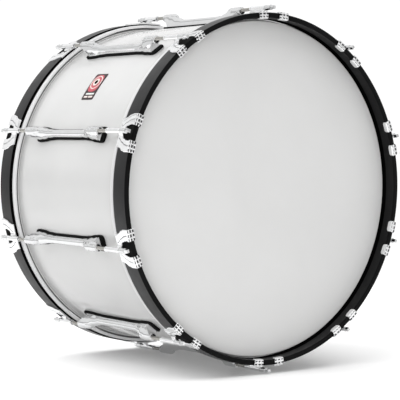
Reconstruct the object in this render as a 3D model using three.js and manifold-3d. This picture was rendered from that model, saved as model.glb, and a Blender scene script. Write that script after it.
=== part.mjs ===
// A marching bass drum: a white shell with two heads, held by two black counterhoops,
// ten double-ended lugs, twenty double-hook claws and twenty key-head tension rods.
//
// The drum's axis is Y, the front head faces -Y and +Z is up. The origin is the drum's centre.
// Every piece of one end is drawn for the front, at the top of the drum, and then turned
// round the axis for its lug. A station is a distance from the drum's middle towards the
// head, so the front end's station s lies at y = -s.
import * as THREE from "three";
import { mergeVertices } from "three/addons/utils/BufferGeometryUtils.js";
import Module from "manifold-3d";

const wasm = await Module();
wasm.setup();

// Driving sizes in millimetres.
const SHELL_DIAMETER = 609.6;
const SHELL_LENGTH = 364.4;
const SHELL_WALL = 7;
const EDGE_ROUND = 1.5;
const EDGE_BEVEL = 5.5;
const HOOP_CLEARANCE = 4;
const HOOP_THICKNESS = 9.5;
const HOOP_WIDTH = 38.1;
const HOOP_CHAMFER = 1.4;
const HOOP_BACK_CHAMFER = 2.2;
const HEAD_RECESS = 28.3;
const FILM_THICKNESS = 0.5;
const FILM_ROUND = 2;
const FLESH_HOOP_WIDTH = 10.4;
const FLESH_HOOP_WALL = 2;
const FLESH_HOOP_STANDOFF = 4.9;
const FLESH_HOOP_CHAMFER = 2.2;
const SEAT_GAP = 0.3;
const RUNNING_GAP = 0.1;

const ROD_DIAMETER = 6.35;
const ROD_STANDOFF = 10.2;
const ROD_COLLAR_DIAMETER = 9.8;
const ROD_COLLAR_LENGTH = 17;
const ROD_SQUARE = 6.3;
const ROD_SQUARE_LENGTH = 9;

const CLAW_PLATE = 3.2;
const CLAW_WIDTH = 70;
const CLAW_NECK_WIDTH = 50;
const CLAW_SLOT_WIDTH = 24;
const CLAW_BRIDGE = 15;
const CLAW_LIP_LENGTH = 5.5;
const CLAW_LIP_WALL = 3;
const CLAW_BEND = 2.4;
const CLAW_CORNER = 4;
const CLAW_BOSS_DIAMETER = 10.4;
const CLAW_BOSS_REACH = 25;
const CLAW_WEB_WIDTH = 18;
const CLAW_CREASE_WIDTH = 1.8;
const CLAW_CREASE_DEPTH = 1.2;

const LUG_LENGTH = 242;
const LUG_BAR_WIDTH = 14;
const LUG_BAR_HEIGHT = 11.8;
const LUG_END_WIDTH = 24;
const LUG_BOSS_RISE = 6.6;
const LUG_END_SLANT = 20;
const LUG_MOUTH_DIAMETER = 10.6;
const LUG_MOUTH_DEPTH = 5.5;
const LUG_THREAD_DEPTH = 26;
const GASKET_THICKNESS = 4.4;
const GASKET_OVERHANG = 2.5;
const GASKET_END_INSET = 9.5;

const BADGE_LENGTH = 57;
const BADGE_WIDTH = 42;
const BADGE_THICKNESS = 0.8;
const BADGE_CORNER = 3;
const VENT_OFFSET = 10;
const VENT_HOLE_DIAMETER = 12.4;
const EYELET_FLANGE_DIAMETER = 18;
const EYELET_FLANGE = 1.2;
const EYELET_WALL = 1;

// Counts, angles and shares, which have no length.
const LUG_COUNT = 10;
const FACETS_PER_LUG = 5;
const ROUND_FACETS = 8;
const VENT_TURN_DEGREES = -51.5;
const FLESH_COVER_SHARE = 0.87;
const LUG_STATION_SHARES = [0.43, 0.57, 0.68, 0.8, 1];
const LUG_RISE_SHARES = [0, 0.16, 0.68, 1, 0.97];
const LUG_SPREAD_SHARES = [0, 0.32, 0.8, 1, 0.95];
const CLAW_SLOT_SHARE = 0.55;
const ARCH_POWER = 2.3;
const ARCH_STEPS = 6;
const CLAW_FLARE_SHARES = [[0, 0], [0.22, 0.1], [0.65, 0.9], [1, 1]];
const CLAW_CREASE_SHARES = [[0.32, 0.24], [0.8, 0.7]];

// Sizes that follow from the driving ones.
const RING_FACETS = LUG_COUNT * FACETS_PER_LUG;
const LUG_TURN = (2 * Math.PI) / LUG_COUNT;
const SHELL_RADIUS = SHELL_DIAMETER / 2;
const HOOP_INNER = SHELL_RADIUS + HOOP_CLEARANCE;
const HOOP_OUTER = HOOP_INNER + HOOP_THICKNESS;
const SHELL_EDGE = SHELL_LENGTH / 2;
const FILM_INNER = SHELL_EDGE + SEAT_GAP;
const FILM_OUTER = FILM_INNER + FILM_THICKNESS;
const HOOP_FRONT = FILM_OUTER + HEAD_RECESS;
const HOOP_BACK = HOOP_FRONT - HOOP_WIDTH;
const COLLAR_INNER = SHELL_RADIUS + SEAT_GAP;
const COLLAR_OUTER = COLLAR_INNER + FILM_THICKNESS;
const FLESH_FRONT = HOOP_BACK - SEAT_GAP;
const FLESH_BACK = FLESH_FRONT - FLESH_HOOP_WIDTH;
const FLESH_INNER = COLLAR_OUTER + FLESH_HOOP_STANDOFF;
const FLESH_OUTER = HOOP_INNER + HOOP_THICKNESS * FLESH_COVER_SHARE;
const FLESH_CHANNEL = FLESH_OUTER - FLESH_HOOP_WALL;
const FILM_EDGE = FLESH_BACK + FLESH_HOOP_WALL + SEAT_GAP;
const ROD_AXIS = HOOP_OUTER + ROD_STANDOFF;
const ROD_RADIUS = ROD_DIAMETER / 2;
const BRIDGE_FRONT = HOOP_BACK + CLAW_BRIDGE;
const COLLAR_BACK = BRIDGE_FRONT + SEAT_GAP;
const COLLAR_FRONT = COLLAR_BACK + ROD_COLLAR_LENGTH;
const PLATE_UNDER = HOOP_OUTER + SEAT_GAP;
const PLATE_TOP = PLATE_UNDER + CLAW_PLATE;
const CLAW_FRONT = HOOP_FRONT + SEAT_GAP + CLAW_PLATE;
const LIP_INNER = HOOP_INNER - SEAT_GAP - CLAW_LIP_WALL;
const LUG_END = LUG_LENGTH / 2;
const GASKET_TOP = SHELL_RADIUS + GASKET_THICKNESS;
const LUG_END_HEIGHT = ROD_AXIS + LUG_BOSS_RISE - GASKET_TOP;
const BADGE_UNDER = SHELL_RADIUS + SEAT_GAP;
const BADGE_TOP = BADGE_UNDER + BADGE_THICKNESS;

// Solids.

// Turns a three.js geometry into a manifold-3d solid, with its faces outward.
function solidOf(geometry) {
  const bare = geometry.index ? geometry.toNonIndexed() : geometry.clone();
  bare.deleteAttribute("normal");
  bare.deleteAttribute("uv");
  const merged = mergeVertices(bare, RUNNING_GAP * 1e-3);
  const triVerts = facesWithArea(merged.index.array);
  const vertProperties = new Float32Array(merged.attributes.position.array);
  const made = new wasm.Manifold(new wasm.Mesh({ numProp: 3, vertProperties, triVerts }));
  return made.volume() < 0 ? turnedOut(vertProperties, triVerts) : made;
}

function facesWithArea(index) {
  const kept = [];
  for (let i = 0; i < index.length; i += 3) {
    const [a, b, c] = [index[i], index[i + 1], index[i + 2]];
    if (a !== b && b !== c && c !== a) kept.push(a, b, c);
  }
  return new Uint32Array(kept);
}

function turnedOut(vertProperties, triVerts) {
  const flipped = triVerts.slice();
  for (let i = 0; i < flipped.length; i += 3) {
    flipped[i] = triVerts[i + 1];
    flipped[i + 1] = triVerts[i];
  }
  return new wasm.Manifold(new wasm.Mesh({ numProp: 3, vertProperties, triVerts: flipped }));
}

// Turns a manifold-3d solid back into a three.js geometry with flat faces.
function geometryOf(solid) {
  const mesh = solid.asOriginal().simplify(RUNNING_GAP / 100).getMesh();
  const geometry = new THREE.BufferGeometry();
  const points = new Float32Array(mesh.numVert * 3);
  for (let i = 0; i < mesh.numVert; i++) {
    for (let k = 0; k < 3; k++) points[i * 3 + k] = mesh.vertProperties[i * mesh.numProp + k];
  }
  geometry.setAttribute("position", new THREE.BufferAttribute(points, 3));
  geometry.setIndex(new THREE.BufferAttribute(new Uint32Array(mesh.triVerts), 1));
  return geometry;
}

// Revolves a closed section of [radius, station] pairs round the drum's axis.
function ring(section) {
  const points = section.map(([radius, station]) => new THREE.Vector2(radius, -station));
  points.push(points[0].clone());
  return solidOf(new THREE.LatheGeometry(points, RING_FACETS));
}

// Extrudes an outline of [x, station] pairs between two heights.
function plate(outline, low, high) {
  const shape = new THREE.Shape(outline.map(([x, station]) => new THREE.Vector2(x, -station)));
  const geometry = new THREE.ExtrudeGeometry(shape, { depth: high - low, bevelEnabled: false });
  return solidOf(geometry.translate(0, 0, low));
}

// Extrudes an outline of [x, height] pairs between two stations.
function slice(outline, near, far) {
  const shape = new THREE.Shape(outline.map(([x, height]) => new THREE.Vector2(x, height)));
  const geometry = new THREE.ExtrudeGeometry(shape, { depth: far - near, bevelEnabled: false });
  return solidOf(geometry.rotateX(Math.PI / 2).translate(0, -near, 0));
}

// A round bar along the drum's axis, at the tension rod's height.
function roundBar(radius, near, far) {
  const geometry = new THREE.CylinderGeometry(radius, radius, far - near, ROUND_FACETS);
  return solidOf(geometry.translate(0, -(near + far) / 2, ROD_AXIS));
}

// A bar that stands out from the drum's axis, for holes through the shell.
function postBar(radius, low, high) {
  const geometry = new THREE.CylinderGeometry(radius, radius, high - low, ROUND_FACETS);
  return solidOf(geometry.rotateX(Math.PI / 2).translate(0, 0, (low + high) / 2));
}

// The radius of a faceted hole that clears a bar of the given radius on every side.
function holeRadius(barRadius, gap) {
  return (barRadius + gap) / Math.cos(Math.PI / ROUND_FACETS);
}

function mirrored(outline) {
  return [...outline, ...outline.map(([x, station]) => [-x, station]).reverse()];
}

function mix(low, high, share) {
  return low + (high - low) * share;
}

// Shell and heads.

function shellSection() {
  const edge = SHELL_EDGE;
  const inner = SHELL_RADIUS - SHELL_WALL;
  const half = [
    [SHELL_RADIUS, edge - EDGE_ROUND],
    [SHELL_RADIUS - EDGE_ROUND, edge],
    [inner, edge - EDGE_BEVEL],
  ];
  return [...half, ...half.map(([radius, station]) => [radius, -station]).reverse()];
}

function headSection() {
  const flange = FLESH_CHANNEL - SEAT_GAP;
  return [
    [0, FILM_OUTER],
    [COLLAR_OUTER - FILM_ROUND, FILM_OUTER],
    [COLLAR_OUTER, FILM_OUTER - FILM_ROUND],
    [COLLAR_OUTER, FILM_EDGE + FILM_THICKNESS],
    [flange, FILM_EDGE + FILM_THICKNESS],
    [flange, FILM_EDGE],
    [COLLAR_INNER, FILM_EDGE],
    [COLLAR_INNER, FILM_INNER - FILM_ROUND + FILM_THICKNESS],
    [COLLAR_INNER - FILM_ROUND + FILM_THICKNESS, FILM_INNER],
    [0, FILM_INNER],
  ];
}

function fleshHoopSection() {
  return [
    [FLESH_INNER, FLESH_FRONT],
    [FLESH_OUTER - FLESH_HOOP_CHAMFER, FLESH_FRONT],
    [FLESH_OUTER, FLESH_FRONT - FLESH_HOOP_CHAMFER],
    [FLESH_OUTER, FLESH_BACK],
    [FLESH_INNER, FLESH_BACK],
    [FLESH_INNER, FLESH_BACK + FLESH_HOOP_WALL],
    [FLESH_CHANNEL, FLESH_BACK + FLESH_HOOP_WALL],
    [FLESH_CHANNEL, FLESH_FRONT - FLESH_HOOP_WALL],
    [FLESH_INNER, FLESH_FRONT - FLESH_HOOP_WALL],
  ];
}

function hoopSection() {
  return [
    [HOOP_OUTER - HOOP_CHAMFER, HOOP_FRONT],
    [HOOP_OUTER, HOOP_FRONT - HOOP_CHAMFER],
    [HOOP_OUTER, HOOP_BACK + HOOP_BACK_CHAMFER],
    [HOOP_OUTER - HOOP_BACK_CHAMFER, HOOP_BACK],
    [HOOP_INNER, HOOP_BACK],
    [HOOP_INNER, HOOP_FRONT - HOOP_CHAMFER],
    [HOOP_INNER + HOOP_CHAMFER, HOOP_FRONT],
  ];
}

// Claws: one casting bridges the hoop and hooks its open edge with two arms.

function clawSection() {
  const lipEnd = HOOP_FRONT - CLAW_LIP_LENGTH;
  const middle = (HOOP_INNER + HOOP_OUTER) / 2;
  return [
    [middle, HOOP_BACK],
    [PLATE_TOP, HOOP_BACK],
    [PLATE_TOP, CLAW_FRONT - CLAW_BEND],
    [PLATE_TOP - CLAW_BEND, CLAW_FRONT],
    [LIP_INNER + CLAW_BEND, CLAW_FRONT],
    [LIP_INNER, CLAW_FRONT - CLAW_BEND],
    [LIP_INNER, lipEnd],
    [middle, lipEnd],
  ];
}

// Half widths of the casting from its neck to its hooks, in an S-shaped flare.
function clawOutline() {
  const half = CLAW_FLARE_SHARES.map(([along, out]) => [
    mix(CLAW_NECK_WIDTH, CLAW_WIDTH, out) / 2,
    mix(HOOP_BACK - CLAW_BEND, CLAW_FRONT + CLAW_BEND, along),
  ]);
  return mirrored(half);
}

function clawSlot() {
  const half = CLAW_SLOT_WIDTH / 2;
  const side = [
    [half * CLAW_SLOT_SHARE, BRIDGE_FRONT],
    [half, BRIDGE_FRONT + half * (1 - CLAW_SLOT_SHARE)],
    [half, CLAW_FRONT + CLAW_BEND],
  ];
  return plate(mirrored(side), LIP_INNER - HOOP_THICKNESS, PLATE_TOP + HOOP_THICKNESS);
}

// The hoop with its seat gap all round, taken out of each claw.
function hoopRoom() {
  return ring([
    [PLATE_UNDER, HOOP_FRONT + SEAT_GAP],
    [PLATE_UNDER, HOOP_BACK - CLAW_BEND],
    [HOOP_INNER - SEAT_GAP, HOOP_BACK - CLAW_BEND],
    [HOOP_INNER - SEAT_GAP, HOOP_FRONT + SEAT_GAP],
  ]);
}

// The hooks' outline in front view, with the lower corners of each tongue rounded.
function clawFrontView() {
  const [inner, outer] = [CLAW_SLOT_WIDTH / 2, CLAW_WIDTH / 2];
  const half = [
    [0, HOOP_INNER],
    [inner, HOOP_INNER],
    [inner, lipHeight(inner) + CLAW_CORNER],
    [inner + CLAW_CORNER, lipHeight(inner + CLAW_CORNER)],
    [outer - CLAW_CORNER, lipHeight(outer - CLAW_CORNER)],
    [outer, lipHeight(outer) + CLAW_CORNER],
    [outer, PLATE_TOP + CLAW_BEND],
    [0, PLATE_TOP + CLAW_BEND],
  ];
  const room = HOOP_WIDTH;
  return slice(half, HOOP_BACK - room, CLAW_FRONT + room)
    .add(slice(half.map(([x, z]) => [-x, z]).reverse(), HOOP_BACK - room, CLAW_FRONT + room));
}

// The height of the hooks' inner wall at a distance from the claw's middle.
function lipHeight(x) {
  return Math.sqrt(LIP_INNER ** 2 - x ** 2);
}

function clawBoss() {
  const radius = CLAW_BOSS_DIAMETER / 2;
  const neck = HOOP_BACK - CLAW_BOSS_REACH;
  const web = mirrored([
    [CLAW_WEB_WIDTH / 2, PLATE_UNDER + CLAW_PLATE / 2],
    [radius, ROD_AXIS],
  ]);
  return roundBar(radius, neck, BRIDGE_FRONT)
    .add(slice(web, HOOP_BACK, BRIDGE_FRONT));
}

// A groove along the middle of each arm, from the bridge towards the hook.
function clawCreases() {
  const half = CLAW_CREASE_WIDTH / 2;
  const middle = CLAW_CREASE_SHARES.map(([along, out]) => [
    (CLAW_WIDTH / 2) * out,
    mix(HOOP_BACK, CLAW_FRONT, along),
  ]);
  const outline = [
    ...middle.map(([x, station]) => [x - half, station + half]),
    ...middle.map(([x, station]) => [x + half, station - half]).reverse(),
  ];
  const other = outline.map(([x, station]) => [-x, station]).reverse();
  const skin = ring([
    [PLATE_TOP - CLAW_CREASE_DEPTH, CLAW_FRONT],
    [PLATE_TOP + CLAW_PLATE, CLAW_FRONT],
    [PLATE_TOP + CLAW_PLATE, HOOP_BACK],
    [PLATE_TOP - CLAW_CREASE_DEPTH, HOOP_BACK],
  ]);
  const low = SHELL_RADIUS / 2;
  const bands = plate(outline, low, low * 3).add(plate(other, low, low * 3));
  return skin.intersect(bands);
}

function claw() {
  const body = ring(clawSection())
    .intersect(plate(clawOutline(), SHELL_RADIUS / 2, SHELL_RADIUS * 2))
    .intersect(clawFrontView())
    .subtract(clawSlot())
    .subtract(clawCreases());
  const bore = roundBar(holeRadius(ROD_RADIUS, RUNNING_GAP), 0, BRIDGE_FRONT * 2);
  return body.add(clawBoss()).subtract(hoopRoom()).subtract(bore);
}

// Tension rods.

function rod() {
  const end = LUG_END - LUG_THREAD_DEPTH + ROD_RADIUS;
  const collar = ROD_COLLAR_DIAMETER / 2;
  const profile = [
    [0, end],
    [ROD_RADIUS, end],
    [ROD_RADIUS, COLLAR_BACK],
    [collar, COLLAR_BACK],
    [collar, COLLAR_FRONT],
    [0, COLLAR_FRONT],
  ];
  const points = profile.map(([radius, station]) => new THREE.Vector2(radius, -station));
  const turned = new THREE.LatheGeometry(points, ROUND_FACETS).translate(0, 0, ROD_AXIS);
  const sunk = ROD_SQUARE / 2;
  const key = new THREE.BoxGeometry(ROD_SQUARE, ROD_SQUARE_LENGTH + sunk, ROD_SQUARE);
  const middle = COLLAR_FRONT + (ROD_SQUARE_LENGTH - sunk) / 2;
  return solidOf(turned).add(solidOf(key.translate(0, -middle, ROD_AXIS)));
}

// Lugs: a lofted casting, low in the middle, whose two ends rise round the rods.

// Half an arch of [x, height] pairs over a flat base, as a superellipse.
function arch(halfWidth, height) {
  const points = [];
  for (let i = 0; i <= ARCH_STEPS; i++) {
    const angle = (Math.PI * i) / ARCH_STEPS;
    const across = Math.cos(angle);
    const x = halfWidth * Math.sign(across) * Math.abs(across) ** (2 / ARCH_POWER);
    points.push([x, height * Math.sin(angle) ** (2 / ARCH_POWER)]);
  }
  return points;
}

function lugHalfWidth(i) {
  return mix(LUG_BAR_WIDTH, LUG_END_WIDTH, LUG_SPREAD_SHARES[i]) / 2;
}

// One cross-section of the casting. The last one leans out, so the open end slants.
function lugSection(i, side) {
  const height = mix(LUG_BAR_HEIGHT, LUG_END_HEIGHT, LUG_RISE_SHARES[i]);
  const lean = i === LUG_STATION_SHARES.length - 1 ? LUG_END_SLANT : 0;
  const foot = GASKET_THICKNESS / 2;
  const points = arch(lugHalfWidth(i), height).map(([x, up]) => {
    const station = LUG_STATION_SHARES[i] * LUG_END - lean * (1 - up / height);
    return [x, side * station, GASKET_TOP + (up > 0 ? up : -foot)];
  });
  return points;
}

// Joins rings of points into one closed skin with flat ends.
function loft(rings) {
  const size = rings[0].length;
  const index = [];
  for (let r = 0; r + 1 < rings.length; r++) {
    for (let i = 0; i < size; i++) {
      const [a, b] = [r * size + i, r * size + ((i + 1) % size)];
      index.push(a, b, a + size, b, b + size, a + size);
    }
  }
  const last = (rings.length - 1) * size;
  for (let i = 1; i + 1 < size; i++) {
    index.push(0, i + 1, i, last, last + i, last + i + 1);
  }
  const geometry = new THREE.BufferGeometry();
  geometry.setAttribute("position", new THREE.Float32BufferAttribute(rings.flat(2), 3));
  geometry.setIndex(index);
  return solidOf(geometry);
}

function lugCasting() {
  const count = LUG_STATION_SHARES.length;
  const front = [];
  for (let i = 0; i < count; i++) front.push(lugSection(i, -1));
  const rear = [];
  for (let i = 0; i < count; i++) rear.push(lugSection(i, 1));
  return loft([...front.reverse(), ...rear]);
}

// The rubber gasket follows the casting's foot and stands out at its two ends.
function gasket() {
  const foot = LUG_END - GASKET_END_INSET;
  const last = LUG_STATION_SHARES.length - 1;
  const half = LUG_STATION_SHARES.slice(0, last - 1).map((share, i) => [
    lugHalfWidth(i) + GASKET_OVERHANG,
    share * LUG_END,
  ]);
  const corner = lugHalfWidth(last) + GASKET_OVERHANG;
  half.push([corner, foot - GASKET_THICKNESS]);
  half.push([corner - GASKET_THICKNESS, foot]);
  const side = [...half.map(([x, s]) => [x, -s]).reverse(), ...half];
  const sheet = plate(mirrored(side), SHELL_RADIUS / 2, SHELL_RADIUS * 2);
  return sheet.intersect(ring([
    [GASKET_TOP, LUG_END],
    [GASKET_TOP, -LUG_END],
    [SHELL_RADIUS / 2, -LUG_END],
    [SHELL_RADIUS / 2, LUG_END],
  ]));
}

function shellRoom() {
  const under = SHELL_RADIUS + SEAT_GAP;
  return ring([
    [under, LUG_LENGTH],
    [under, -LUG_LENGTH],
    [0, -LUG_LENGTH],
    [0, LUG_LENGTH],
  ]);
}

function lug() {
  const thread = holeRadius(ROD_RADIUS, RUNNING_GAP);
  const depth = LUG_END - LUG_THREAD_DEPTH;
  const mouth = roundBar(LUG_MOUTH_DIAMETER / 2, LUG_END - LUG_MOUTH_DEPTH, LUG_LENGTH);
  const frontBore = mouth.add(roundBar(thread, depth, LUG_LENGTH));
  const casting = lugCasting().add(gasket()).subtract(shellRoom());
  return casting.subtract(frontBore).subtract(frontBore.rotate([0, 0, 180]));
}

// Badge and vent.

function atVent(solid) {
  return solid.rotate([0, VENT_TURN_DEGREES, 0]);
}

function ventHole() {
  return atVent(postBar(VENT_HOLE_DIAMETER / 2, SHELL_RADIUS / 2, SHELL_RADIUS * 2));
}

// A thin plate bent round the shell, longer towards the lug below the vent.
function badge() {
  const half = BADGE_WIDTH / 2;
  const [near, far] = [BADGE_LENGTH / 2 - VENT_OFFSET, BADGE_LENGTH / 2 + VENT_OFFSET];
  const outline = [
    [near - BADGE_CORNER, -half],
    [near, BADGE_CORNER - half],
    [near, half - BADGE_CORNER],
    [near - BADGE_CORNER, half],
    [BADGE_CORNER - far, half],
    [-far, half - BADGE_CORNER],
    [-far, BADGE_CORNER - half],
    [BADGE_CORNER - far, -half],
  ];
  const skin = ring([
    [BADGE_UNDER, BADGE_WIDTH],
    [BADGE_TOP, BADGE_WIDTH],
    [BADGE_TOP, -BADGE_WIDTH],
    [BADGE_UNDER, -BADGE_WIDTH],
  ]);
  const cutter = atVent(plate(outline, SHELL_RADIUS / 2, SHELL_RADIUS * 2));
  return skin.intersect(cutter).subtract(ventHole());
}

// A flanged tube through badge and shell, turned over inside the shell.
function ventEyelet() {
  const outside = BADGE_TOP + SEAT_GAP;
  const inside = (SHELL_RADIUS - SHELL_WALL) * Math.cos(Math.PI / RING_FACETS) - SEAT_GAP;
  const tube = (VENT_HOLE_DIAMETER / 2) * Math.cos(Math.PI / ROUND_FACETS) - SEAT_GAP;
  const flange = EYELET_FLANGE_DIAMETER / 2;
  const [low, high] = [inside - EYELET_FLANGE, outside + EYELET_FLANGE];
  const body = postBar(flange, outside, high)
    .add(postBar(tube, low, high))
    .add(postBar(flange - EYELET_FLANGE, low, inside));
  return atVent(body.subtract(postBar(tube - EYELET_WALL, low - EYELET_WALL, high * 2)));
}

// Assembly.

const FINISHES = {
  shell: { color: 0xe6e6e4, roughness: 0.25, metalness: 0 },
  hoop: { color: 0x0c0c0d, roughness: 0.35, metalness: 0 },
  head: { color: 0xe2e2df, roughness: 0.7, metalness: 0 },
  metal: { color: 0xd9dadc, roughness: 0.4, metalness: 0.9 },
  chrome: { color: 0xd4d6d8, roughness: 0.12, metalness: 1 },
  badge: { color: 0x9c2f3a, roughness: 0.4, metalness: 0.2 },
};

const parts = new THREE.Group();
parts.name = "marching_bass_drum";

function place(name, geometry, finish) {
  const mesh = new THREE.Mesh(geometry, new THREE.MeshStandardMaterial(FINISHES[finish]));
  mesh.name = name;
  parts.add(mesh);
}

// Places one copy of a front piece at the drum's rear end.
function behind(geometry) {
  return geometry.clone().rotateZ(Math.PI);
}

function placeBoth(name, solid, finish) {
  const geometry = geometryOf(solid);
  place(name + "_front", geometry, finish);
  place(name + "_rear", behind(geometry), finish);
}

// Sets copies round the drum, the first at the top and the rest clockwise from the front.
function placeRound(name, geometry, finish) {
  for (let i = 0; i < LUG_COUNT; i++) {
    const number = String(i + 1).padStart(2, "0");
    place(name + "_" + number, geometry.clone().rotateY(LUG_TURN * i), finish);
  }
}

place("shell", geometryOf(ring(shellSection()).subtract(ventHole())), "shell");
placeBoth("head", ring(headSection()), "head");
placeBoth("flesh_hoop", ring(fleshHoopSection()), "metal");
placeBoth("counterhoop", ring(hoopSection()), "hoop");
placeRound("lug", geometryOf(lug()), "chrome");
const clawGeometry = geometryOf(claw());
placeRound("claw_front", clawGeometry, "chrome");
placeRound("claw_rear", behind(clawGeometry), "chrome");
const rodGeometry = geometryOf(rod());
placeRound("tension_rod_front", rodGeometry, "chrome");
placeRound("tension_rod_rear", behind(rodGeometry), "chrome");
place("badge", geometryOf(badge()), "badge");
place("vent_eyelet", geometryOf(ventEyelet()), "metal");

export default parts;
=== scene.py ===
import math

import bpy
import bmesh
from mathutils import Matrix, Vector


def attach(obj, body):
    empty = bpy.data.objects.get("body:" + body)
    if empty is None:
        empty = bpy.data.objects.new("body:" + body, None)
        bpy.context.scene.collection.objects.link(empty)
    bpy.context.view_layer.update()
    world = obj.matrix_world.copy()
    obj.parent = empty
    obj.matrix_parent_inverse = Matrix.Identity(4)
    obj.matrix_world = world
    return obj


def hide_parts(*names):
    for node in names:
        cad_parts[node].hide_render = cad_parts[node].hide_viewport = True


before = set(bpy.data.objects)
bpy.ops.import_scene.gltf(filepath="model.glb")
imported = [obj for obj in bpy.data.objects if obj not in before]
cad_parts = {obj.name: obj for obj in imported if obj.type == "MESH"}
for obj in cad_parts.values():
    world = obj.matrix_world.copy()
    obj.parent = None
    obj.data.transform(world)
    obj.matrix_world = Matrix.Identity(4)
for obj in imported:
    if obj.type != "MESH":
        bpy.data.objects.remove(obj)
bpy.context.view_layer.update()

# Sizes in millimetres, repeated from the part's source.
HOOP_OUT, HOOP_IN = 318.3, 308.8
HOOP_FRONT, HOOP_BACK = 211.3, 173.2
SHELL_R, SHELL_BORE, SHELL_EDGE = 304.8, 297.8, 182.2
FILM_OUT = 183.0
FLESH_IN, FLESH_OUT = 310.5, 317.06
FLESH_FRONT, FLESH_BACK = 172.9, 162.5
ROD_AXIS = 328.5
GASKET_TOP = 309.2
PLATE_UNDER, PLATE_TOP = 318.6, 321.8
LIP_IN, LIP_BACK = 306.7, 205.8
BRIDGE_FRONT = 188.2
LUG_END = 121.0
LUGS = 10
VENT_TURN, VENT_R = -51.5, 5.5

# Where one finish, painted shade or painted light ends and the next begins, in millimetres: stations and radii, then
# depths from an edge.
CORNER_SHADE_EDGE, FLESH_SHADOW_EDGE = 188.5, 169.3
HEM_SHADOW_IN, HEM_SHADOW_FRONT = 307.0, 165.1
FACE_SHADE_DEPTH, OUTER_DEPTH, BACK_SHADE = 2.6, 3.0, 3.1
FACE_DEPTH, FACE_RIM, FLESH_SHADOW_IN = 0.5, 1.5, 1.0
HAIR = 0.1

# The floor, in millimetres, and how strong its glow, its dimming in reflections and the soft light are.
FLOOR, FLOOR_REACH = -335.2, 1700.0
FLOOR_GLOW, FLOOR_DIM, SOFT_POWER = 0.11, 0.18, 0.38

# The camera, from the fit to the photograph: metres, degrees, and the focal length in the photograph's pixels.
CAMERA_PLACE = (-1.74038, -2.31296, 0.09266)
CAMERA_ANGLES = (36.9413, -2.3586, 0.3953)
CAMERA_TURN = -0.4
FOCAL, PHOTO_WIDTH, SENSOR = 1509.84, 400, 36.0


def make_camera():
    yaw, pitch, roll = (math.radians(a) for a in CAMERA_ANGLES)
    forward = Vector((math.sin(yaw) * math.cos(pitch), math.cos(yaw) * math.cos(pitch), math.sin(pitch)))
    right = Vector((math.cos(yaw), -math.sin(yaw), 0.0))
    up = right.cross(forward)
    right2 = right * math.cos(roll) + up * math.sin(roll)
    up2 = up * math.cos(roll) - right * math.sin(roll)
    data = bpy.data.cameras.new("camera")
    data.sensor_fit = "HORIZONTAL"
    data.sensor_width = SENSOR
    data.lens = FOCAL / PHOTO_WIDTH * SENSOR
    data.clip_end = 60
    cam = bpy.data.objects.new("camera", data)
    m = Matrix((right2, up2, -forward)).transposed().to_4x4()
    m.translation = Vector(CAMERA_PLACE)
    cam.matrix_world = Matrix.Rotation(math.radians(CAMERA_TURN), 4, "Y") @ m
    bpy.context.scene.collection.objects.link(cam)
    bpy.context.scene.camera = cam


# Materials.
def new_material(name):
    m = bpy.data.materials.new(name)
    m.use_nodes = True
    n = m.node_tree.nodes
    return m, n, m.node_tree.links, n["Principled BSDF"]


def noise_node(n, l, scale, detail=4.0, rough=0.55, stretch=None):
    coord = n.new("ShaderNodeTexCoord")
    tex = n.new("ShaderNodeTexNoise")
    tex.inputs["Scale"].default_value = scale
    tex.inputs["Detail"].default_value = detail
    tex.inputs["Roughness"].default_value = rough
    if stretch:
        mapping = n.new("ShaderNodeMapping")
        mapping.inputs["Scale"].default_value = stretch
        l.new(coord.outputs["Object"], mapping.inputs["Vector"])
        l.new(mapping.outputs["Vector"], tex.inputs["Vector"])
    else:
        l.new(coord.outputs["Object"], tex.inputs["Vector"])
    return tex


def ramp(n, l, source, low, high, start=0.3, end=0.7):
    """A blend from low to high, either greys or colours, over the middle of the source's range."""
    r = n.new("ShaderNodeValToRGB")
    for element, place, tone in zip(r.color_ramp.elements, (start, end), (low, high)):
        element.position = place
        element.color = (tone, tone, tone, 1) if isinstance(tone, float) else (*tone, 1)
    l.new(source, r.inputs["Fac"])
    return r.outputs["Color"]


def bump(n, l, source, strength, distance):
    b = n.new("ShaderNodeBump")
    b.inputs["Strength"].default_value = strength
    b.inputs["Distance"].default_value = distance
    l.new(source, b.inputs["Height"])
    return b.outputs["Normal"]


def lacquer(name, low, high, rough, grain, coat=0.5, shine=0.5):
    """Sprayed paint: a little uneven in tone and gloss, with fine orange peel of the given grain."""
    m, n, l, p = new_material(name)
    tone = noise_node(n, l, 9, 5)
    l.new(ramp(n, l, tone.outputs["Fac"], low, high), p.inputs["Base Color"])
    haze = noise_node(n, l, 55, 6)
    l.new(ramp(n, l, haze.outputs["Fac"], rough * 0.85, rough * 1.2), p.inputs["Roughness"])
    peel = noise_node(n, l, grain, 3)
    l.new(bump(n, l, peel.outputs["Fac"], 0.12, 0.0004), p.inputs["Normal"])
    p.inputs["Coat Weight"].default_value = coat
    p.inputs["Coat Roughness"].default_value = 0.06
    p.inputs["Specular IOR Level"].default_value = shine
    return m


def chrome(name, tone, rough):
    """Plated metal with faint clouds, smears along the piece and a slightly wavy surface."""
    m, n, l, p = new_material(name)
    p.inputs["Metallic"].default_value = 1.0
    cloud = noise_node(n, l, 60, 5)
    l.new(ramp(n, l, cloud.outputs["Fac"], tuple(c * 0.94 for c in tone), tone), p.inputs["Base Color"])
    smear = noise_node(n, l, 140, 6, stretch=(1, 0.25, 1))
    l.new(ramp(n, l, smear.outputs["Fac"], rough * 0.6, rough * 1.7), p.inputs["Roughness"])
    wave = noise_node(n, l, 90, 2)
    l.new(bump(n, l, wave.outputs["Fac"], 0.06, 0.0005), p.inputs["Normal"])
    return m


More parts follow.
